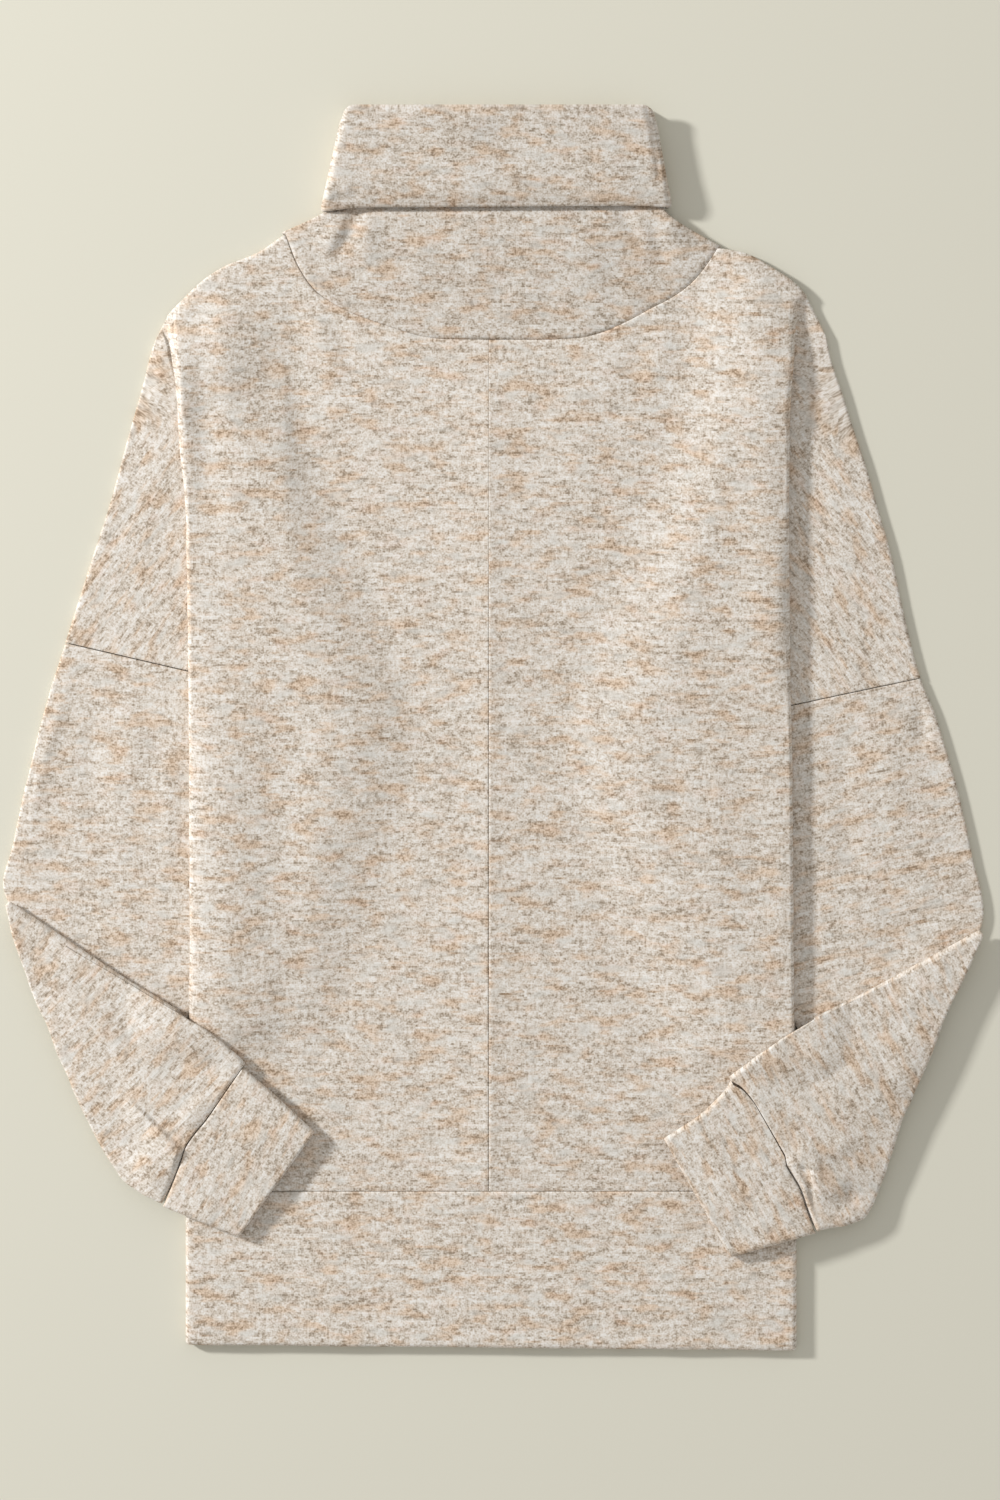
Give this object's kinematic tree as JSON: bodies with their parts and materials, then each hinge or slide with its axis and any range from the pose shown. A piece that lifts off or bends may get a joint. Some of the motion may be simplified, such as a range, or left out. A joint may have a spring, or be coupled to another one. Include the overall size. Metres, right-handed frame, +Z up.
{
  "type": "cowl neck top",
  "caption": "Loose cowl neck knit top laid flat, with a turned-down collar, dropped shoulders, forearms folded forward, cuffs and a deep hem band.",
  "frame": {"origin": "on the surface the garment lies on, under the middle of its outline", "axes": "+X towards the right of the garment as seen from above, +Y from the hem to the collar, +Z up from the surface"},
  "size_m": [0.6086, 0.77, 0.0157],
  "materials": {
    "body_knit": "soft brushed heathered oatmeal knit, one layer",
    "doubled_knit": "soft brushed heathered oatmeal knit, doubled"
  },
  "bodies": {
    "root": {"front_left": "body_knit", "front_right": "body_knit", "back": "body_knit", "sleeve_left": "body_knit", "sleeve_right": "body_knit", "cowl": "doubled_knit", "cuff_left": "doubled_knit", "cuff_right": "doubled_knit", "hem_band": "doubled_knit"}
  },
  "joints": []
}
